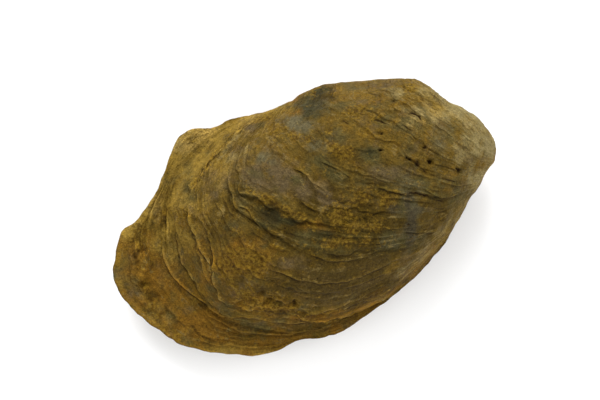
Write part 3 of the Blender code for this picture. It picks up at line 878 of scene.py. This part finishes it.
# the colour the hollows darken towards, the deeper the darker
RECESS_DARK = (0.034, 0.022, 0.008)
HOLE_BLACK = (0.022, 0.010, 0.003)
DUSK = (0.79, 0.76, 0.62)  # what every colour of the shell is taken down by

STAINS = {
    "dark": (0.052, 0.033, 0.003),
    "rust": (0.182, 0.092, 0.010),
    "mauve": (0.110, 0.079, 0.042),
    "taupe": (0.068, 0.044, 0.009),
    "flange": (0.260, 0.170, 0.032),
    "green": (0.067, 0.057, 0.020),
    "slate": (0.107, 0.095, 0.056),
    "pale": (0.262, 0.215, 0.105),
    "mould": (0.040, 0.037, 0.014),
    "blue": (0.058, 0.048, 0.030),
    "buff": (0.340, 0.230, 0.064),
}

# The stone's grains: their size in millimetres, how many finer ones lie in each and how rough these are.
GRAINS = {
    "broad": (11.0, 3, 0.55),
    "moss": (6.5, 4, 0.60),
    "bruise": (4.7, 4, 0.60),
    "blotch": (2.6, 4, 0.60),
    "grain": (0.8, 3, 0.65),
    "crumbs": (0.7, 3, 0.65),
    "sand": (0.38, 2, 0.60),
}
STREAKS = (0.9, 4, 0.65)  # to the millimetre, along the growth lines
STREAK_STRETCH = 9  # how many times longer than wide

# What mottles the ground: the grain, the values where it starts and ends, how strongly and in what colour.
MOTTLES = (
    ("broad", 0.36, 0.64, 1.00, TAN),
    ("blotch", 0.46, 0.66, 0.50, RUSSET),
    ("moss", 0.50, 0.62, 0.55, MOSS),
    ("bruise", 0.54, 0.68, 0.55, BRUISE),
)
STAIN_RAGGED, STAIN_STRENGTH = 0.95, 0.88
# What speckles it, stains and all: the grain, the values where it starts and ends, the darkest and lightest.
SPECKLES = (
    ("streaks", 0.32, 0.68, 0.83, 1.18),
    ("grain", 0.30, 0.70, 0.72, 1.30),
    ("sand", 0.32, 0.68, 0.74, 1.28),
)
CRUMBS_IN_CRUST, BLOTCH_IN_CRUST, CRUST_STRENGTH = 2.4, 2.2, 0.72

# The painted highlight and painted shadow of the fine sheets follow how far through its sheet each place is,
# 0 to 1: shadow just past a sheet's edge, highlight about its crest.
GRAIN_IN_SHEETS, BLOTCH_IN_SHEETS, SHEET_START = 0.45, 0.35, 0.40
LID_LINES, LID_RAGGED = 19.0, 0.9  # fine rings on the lid valve, from the margin to the middle, with painted shade at the foot of each

# How much the relief's painted light and shade lighten or darken the colour: painted highlights on lips,
# sheet crests, lumps, ledge faces and the margin, and painted shadow past sheet edges and at the feet of
# fine sheets, lid rings, lumps and ledges.
SHADES = {
    "lip": 0.46, "above": 0.30, "groove": -0.38, "below": -0.30, "ring": -0.30,
    "lump_light_and_shade": 0.50, "margin_highlight": 0.30, "face": 0.85, "foot": -0.75,
}
DARKEST = 0.3
HOLLOW_DARKENING, HOLE_DARK, CRACK_DARK = 0.45, 0.85, 0.9

# The finest relief, which the light shows: how much of it every grain makes, and how deep it is.
FINE_RELIEF = {"grain": 1.3, "crumbs": 1.8, "streaks": 0.7, "sand": 1.1, "sheets": 0.9, "rings": 0.9}
CREST = 0.88  # how far through a fine sheet it is highest
RELIEF_DEPTH = 0.55
GLOSS = 0.08


class Nodes:
    """A node tree with short ways to add what the shell's stone needs."""

    def __init__(self, tree):
        self.tree = tree

    def add(self, kind, **settings):
        node = self.tree.nodes.new(kind)
        for name, value in settings.items():
            setattr(node, name, value)
        return node

    def put(self, socket, value):
        if isinstance(value, bpy.types.NodeSocket):
            self.tree.links.new(value, socket)
        elif isinstance(value, tuple) and socket.type == "RGBA":
            socket.default_value = (*value, 1)
        else:
            socket.default_value = value

    def field(self, name):
        return self.add("ShaderNodeAttribute", attribute_name=name).outputs["Fac"]

    def reckon(self, operation, *values):
        node = self.add("ShaderNodeMath", operation=operation)
        for socket, value in zip(node.inputs, values):
            self.put(socket, value)
        return node.outputs[0]

    def times(self, a, b):
        return self.reckon("MULTIPLY", a, b)

    def total(self, *parts, start=0.0):
        """The start, plus every value times its amount."""
        for value, amount in parts:
            start = self.reckon("MULTIPLY_ADD", value, amount, start)
        return start

    def weighed(self, values, amounts, start=0.0):
        """The total of named values with the amounts of the same names."""
        return self.total(*((values[name], amount) for name, amount in amounts.items()), start=start)

    def minus(self, a, b):
        return self.reckon("SUBTRACT", a, b)

    def mix(self, factor, a, b, blend="MIX"):
        node = self.add("ShaderNodeMix", data_type="RGBA", blend_type=blend)
        self.put(node.inputs[0], factor)
        self.put(node.inputs[6], a)
        self.put(node.inputs[7], b)
        return node.outputs[2]

    def shaded(self, colour, by):
        """A colour multiplied by a value or another colour."""
        return self.mix(1.0, colour, by, "MULTIPLY")

    def span(self, value, low, high, to_low=0.0, to_high=1.0):
        node = self.add("ShaderNodeMapRange", clamp=True)
        for socket, given in zip(node.inputs, (value, low, high, to_low, to_high)):
            self.put(socket, given)
        return node.outputs[0]

    def fall(self, value, low, high, most=1.0):
        """The most below low, and falling to 0 at high."""
        return self.span(value, low, high, most, 0.0)

    def band(self, value, start, full, fading, end):
        """0 before the start and past the end, and 1 from full to fading."""
        return self.reckon("MINIMUM", self.span(value, start, full), self.fall(value, fading, end))

    def noise(self, *values):
        """Noise for a place, with its scale, how many finer swells it has and how rough these are."""
        node = self.add("ShaderNodeTexNoise")
        for name, value in zip(("Vector", "Scale", "Detail", "Roughness"), values):
            self.put(node.inputs[name], value)
        return node.outputs["Fac"]


def stone_grains(nodes):
    """The noise of every grain, and the streaks along the unrolled shell's growth lines."""
    place = nodes.add("ShaderNodeTexCoord").outputs["Object"]
    grains = {name: nodes.noise(place, 1 / MM / size, *rest) for name, (size, *rest) in GRAINS.items()}
    unrolled = nodes.add("ShaderNodeCombineXYZ")
    lengths = {"turn": LINE_LENGTH / STREAK_STRETCH, "age": GROWTH_LENGTH, "lid": LID_LENGTH}
    for socket, (name, length) in zip(unrolled.inputs, lengths.items()):
        nodes.put(socket, nodes.times(nodes.field(name), length))
    grains["streaks"] = nodes.noise(unrolled.outputs[0], *STREAKS)
    return grains


def stone_colour(nodes, grains):
    """The ground, its mottles, the stains and the speckles."""
    colour = UMBER
    for name, low, high, strength, mottle in MOTTLES:
        colour = nodes.mix(nodes.span(grains[name], low, high, 0, strength), colour, mottle)
    mottled = nodes.minus(nodes.reckon("ADD", grains["blotch"], grains["streaks"]), 1.0)
    for name, stain in STAINS.items():
        edge = nodes.total((mottled, STAIN_RAGGED), start=nodes.field(name))
        colour = nodes.mix(nodes.span(edge, 0.12, 0.74, 0, STAIN_STRENGTH), colour, stain)
    for name, low, high, darkest, lightest in SPECKLES:
        colour = nodes.shaded(colour, nodes.span(grains[name], low, high, darkest, lightest))
    return colour


def crusted(nodes, grains, colour):
    """The colour, with ochre crust over it in clumps."""
    crumbs, blotch = nodes.minus(grains["crumbs"], 0.5), nodes.minus(grains["blotch"], 0.5)
    crust = nodes.total((crumbs, CRUMBS_IN_CRUST), (blotch, BLOTCH_IN_CRUST), start=nodes.field("ochre"))
    ochre = nodes.mix(nodes.span(grains["grain"], 0.38, 0.62), CRUST_DARK, CRUST_LIGHT)
    return nodes.mix(nodes.span(crust, 0.25, 0.75, 0, CRUST_STRENGTH), colour, ochre)


def sheet_lines(nodes, grains):
    """How far through its growth sheet each place is, how strongly that shows, and the same on the lid."""
    ragged = nodes.total((grains["blotch"], BLOTCH_IN_SHEETS), (grains["grain"], GRAIN_IN_SHEETS))
    part = nodes.reckon("FRACT", nodes.reckon("ADD", nodes.field("sheets"), ragged))
    part = nodes.reckon("FRACT", nodes.minus(part, SHEET_START))
    strong = nodes.span(nodes.field("ledge"), 0.02, 0.45)
    ring = nodes.reckon("FRACT", nodes.total((ragged, LID_RAGGED), (nodes.field("lid"), LID_LINES)))
    return part, strong, ring, nodes.span(nodes.field("lid"), 0.0, 0.06)


def relief_shade(nodes, chipped, lines):
    """The painted light and shade of the relief: how much lighter or darker it makes each place, 1 where it
    changes nothing.
    """
    part, strong, ring, on_lid = lines
    shelf = nodes.field("shelf")
    side = nodes.reckon("ADD", nodes.field("shelf_side"), chipped)
    masks = {
        "lip": nodes.span(nodes.field("lip"), 0.03, 0.9),
        "above": nodes.times(nodes.span(part, 0.66, 0.96), strong),
        "groove": nodes.span(nodes.field("groove"), 0.03, 1.0),
        "below": nodes.times(nodes.fall(part, 0.0, 0.26), strong),
        "ring": nodes.times(nodes.fall(ring, 0.0, 0.25), on_lid),
        "lump_light_and_shade": nodes.field("lump_light_and_shade"),
        "margin_highlight": nodes.field("margin_highlight"),
        "face": nodes.times(nodes.band(side, -0.80, -0.30, -0.08, 0.04), shelf),
        "foot": nodes.times(nodes.band(side, -0.06, 0.06, 0.15, 0.60), shelf),
    }
    return nodes.reckon("MAXIMUM", nodes.weighed(masks, SHADES, start=1.0), DARKEST)


def darkened_in_recesses(nodes, grains, chipped, colour):
    """The colour darkened the deeper the hollow, and with the dark of the holes and cracks."""
    colour = nodes.mix(nodes.span(nodes.field("hollow"), 0.1, 0.9, 0, HOLLOW_DARKENING), colour, RECESS_DARK)
    away = nodes.reckon("ADD", nodes.field("hole"), chipped)
    colour = nodes.mix(nodes.fall(away, 0.55, 1.00, HOLE_DARK), colour, HOLE_BLACK)
    gape = nodes.reckon("ADD", nodes.field("crack_side"), nodes.minus(grains["grain"], 0.5))
    gape = nodes.times(nodes.fall(nodes.reckon("ABSOLUTE", gape), 0.5, 1.0), nodes.field("crack"))
    return nodes.mix(nodes.times(gape, CRACK_DARK), colour, HOLE_BLACK)


def fine_relief(nodes, grains, lines):
    """The normal of the grains, the fine sheets and the lid's rings."""
    part, strong, ring, on_lid = lines
    up, down = nodes.reckon("DIVIDE", part, CREST), nodes.reckon("DIVIDE", nodes.minus(1.0, part), 1 - CREST)
    heights = {
        **grains,
        "crumbs": nodes.times(grains["crumbs"], nodes.field("ochre")),
        "sheets": nodes.times(nodes.reckon("MINIMUM", up, down), strong),
        "rings": nodes.times(ring, on_lid),
    }
    bump = nodes.add("ShaderNodeBump")
    nodes.put(bump.inputs["Height"], nodes.weighed(heights, FINE_RELIEF))
    nodes.put(bump.inputs["Strength"], 1.0)
    nodes.put(bump.inputs["Distance"], RELIEF_DEPTH * MM)
    return bump.outputs[0]


def petrified_shell():
    material = bpy.data.materials.new("fossil_shell")
    material.use_nodes = True
    nodes = Nodes(material.node_tree)
    shader = material.node_tree.nodes["Principled BSDF"]
    grains = stone_grains(nodes)
    lines = sheet_lines(nodes, grains)
    chipped = nodes.minus(nodes.total((grains["blotch"], 0.5), (grains["grain"], 0.5)), 0.5)
    shade = relief_shade(nodes, chipped, lines)
    colour = nodes.shaded(crusted(nodes, grains, stone_colour(nodes, grains)), shade)
    colour = nodes.mix(nodes.fall(shade, 0.4, 1.0), colour, SHADE_TINT, "MULTIPLY")
    colour = darkened_in_recesses(nodes, grains, chipped, colour)
    nodes.put(shader.inputs["Base Color"], nodes.shaded(colour, DUSK))
    nodes.put(shader.inputs["Normal"], fine_relief(nodes, grains, lines))
    nodes.put(shader.inputs["Roughness"], nodes.span(grains["blotch"], 0.3, 0.7, 0.76, 0.92))
    nodes.put(shader.inputs["Specular IOR Level"], GLOSS)
    return material


# -------- floor, light and camera

FLOOR_SIZE = 3
FLOOR_COLOUR = (0.93, 0.93, 0.93, 1)
FLOOR_DULLNESS = 0.9
ROOM_COLOUR = (1, 1, 1, 1)
ROOM_LIGHT = 0.66

PICTURE_TURN = math.radians(-20)  # the shell's length runs down to the right of straight across
MIDDLE_OF_VIEW = Vector((-0.19, 4.73, 0)) * MM
CAMERA_DISTANCE = 2.0
VIEW_WIDTH = 154.6 * MM
VIEW_LEVEL = 12 * MM  # the height above the floor at which the view is this wide
FILM_WIDTH = 36
NEAREST_SEEN = 0.01

# Lamps: degrees round from the picture's right, degrees up, how wide in metres and how strong in watts.
LAMP_DISTANCE = 1.4
LAMPS = {
    "main_light": (102, 29, 1.1, 29.0),
    "right_light": (5, 28, 1.0, 8.7),
    "left_light": (192, 28, 1.0, 5.8),
    "near_light": (284, 28, 1.0, 10.1),
}


def plain_floor():
    bpy.ops.mesh.primitive_plane_add(size=FLOOR_SIZE, location=(0, 0, 0))
    floor = bpy.context.object
    floor.name = "pale_floor"
    material = bpy.data.materials.new("pale_floor")
    material.use_nodes = True
    shader = material.node_tree.nodes["Principled BSDF"]
    shader.inputs["Base Color"].default_value = FLOOR_COLOUR
    shader.inputs["Roughness"].default_value = FLOOR_DULLNESS
    floor.data.materials.append(material)


def soft_light(name, bearing, height, size, power):
    """A square lamp aimed at the shell."""
    lamp = bpy.data.lights.new(name, "AREA")
    lamp.size = size
    lamp.energy = power
    held = bpy.data.objects.new(name, lamp)
    bpy.context.scene.collection.objects.link(held)
    round_about = math.radians(bearing) + PICTURE_TURN
    up = math.radians(height)
    way = Vector((math.cos(round_about) * math.cos(up), math.sin(round_about) * math.cos(up), math.sin(up)))
    held.location = way * LAMP_DISTANCE
    held.rotation_euler = way.to_track_quat("Z", "Y").to_euler()


def set_lights():
    world = bpy.data.worlds.new("pale_room")
    bpy.context.scene.world = world
    world.use_nodes = True
    background = world.node_tree.nodes["Background"]
    background.inputs["Color"].default_value = ROOM_COLOUR
    background.inputs["Strength"].default_value = ROOM_LIGHT
    for name, lamp in LAMPS.items():
        soft_light(name, *lamp)


def set_camera():
    camera = bpy.data.cameras.new("over_the_shell")
    camera.sensor_width = FILM_WIDTH
    camera.lens = FILM_WIDTH * (CAMERA_DISTANCE - VIEW_LEVEL) / VIEW_WIDTH
    camera.clip_start = NEAREST_SEEN
    held = bpy.data.objects.new("over_the_shell", camera)
    bpy.context.scene.collection.objects.link(held)
    held.location = MIDDLE_OF_VIEW + Vector((0, 0, CAMERA_DISTANCE))
    held.rotation_euler = (0, 0, PICTURE_TURN)
    bpy.context.scene.camera = held


# -------- the scene

def fossil_oyster():
    shell = grow_deep_valve()
    close_lid_valve(shell)
    carve(shell)
    shell.data.materials.append(petrified_shell())
    bpy.ops.object.select_all(action="DESELECT")
    shell.select_set(True)
    bpy.context.view_layer.objects.active = shell
    bpy.ops.object.shade_smooth()
    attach(shell, "root")
    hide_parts("fossil_oyster")


fossil_oyster()
plain_floor()
set_lights()
set_camera()
bpy.context.scene.view_settings.view_transform = "Standard"
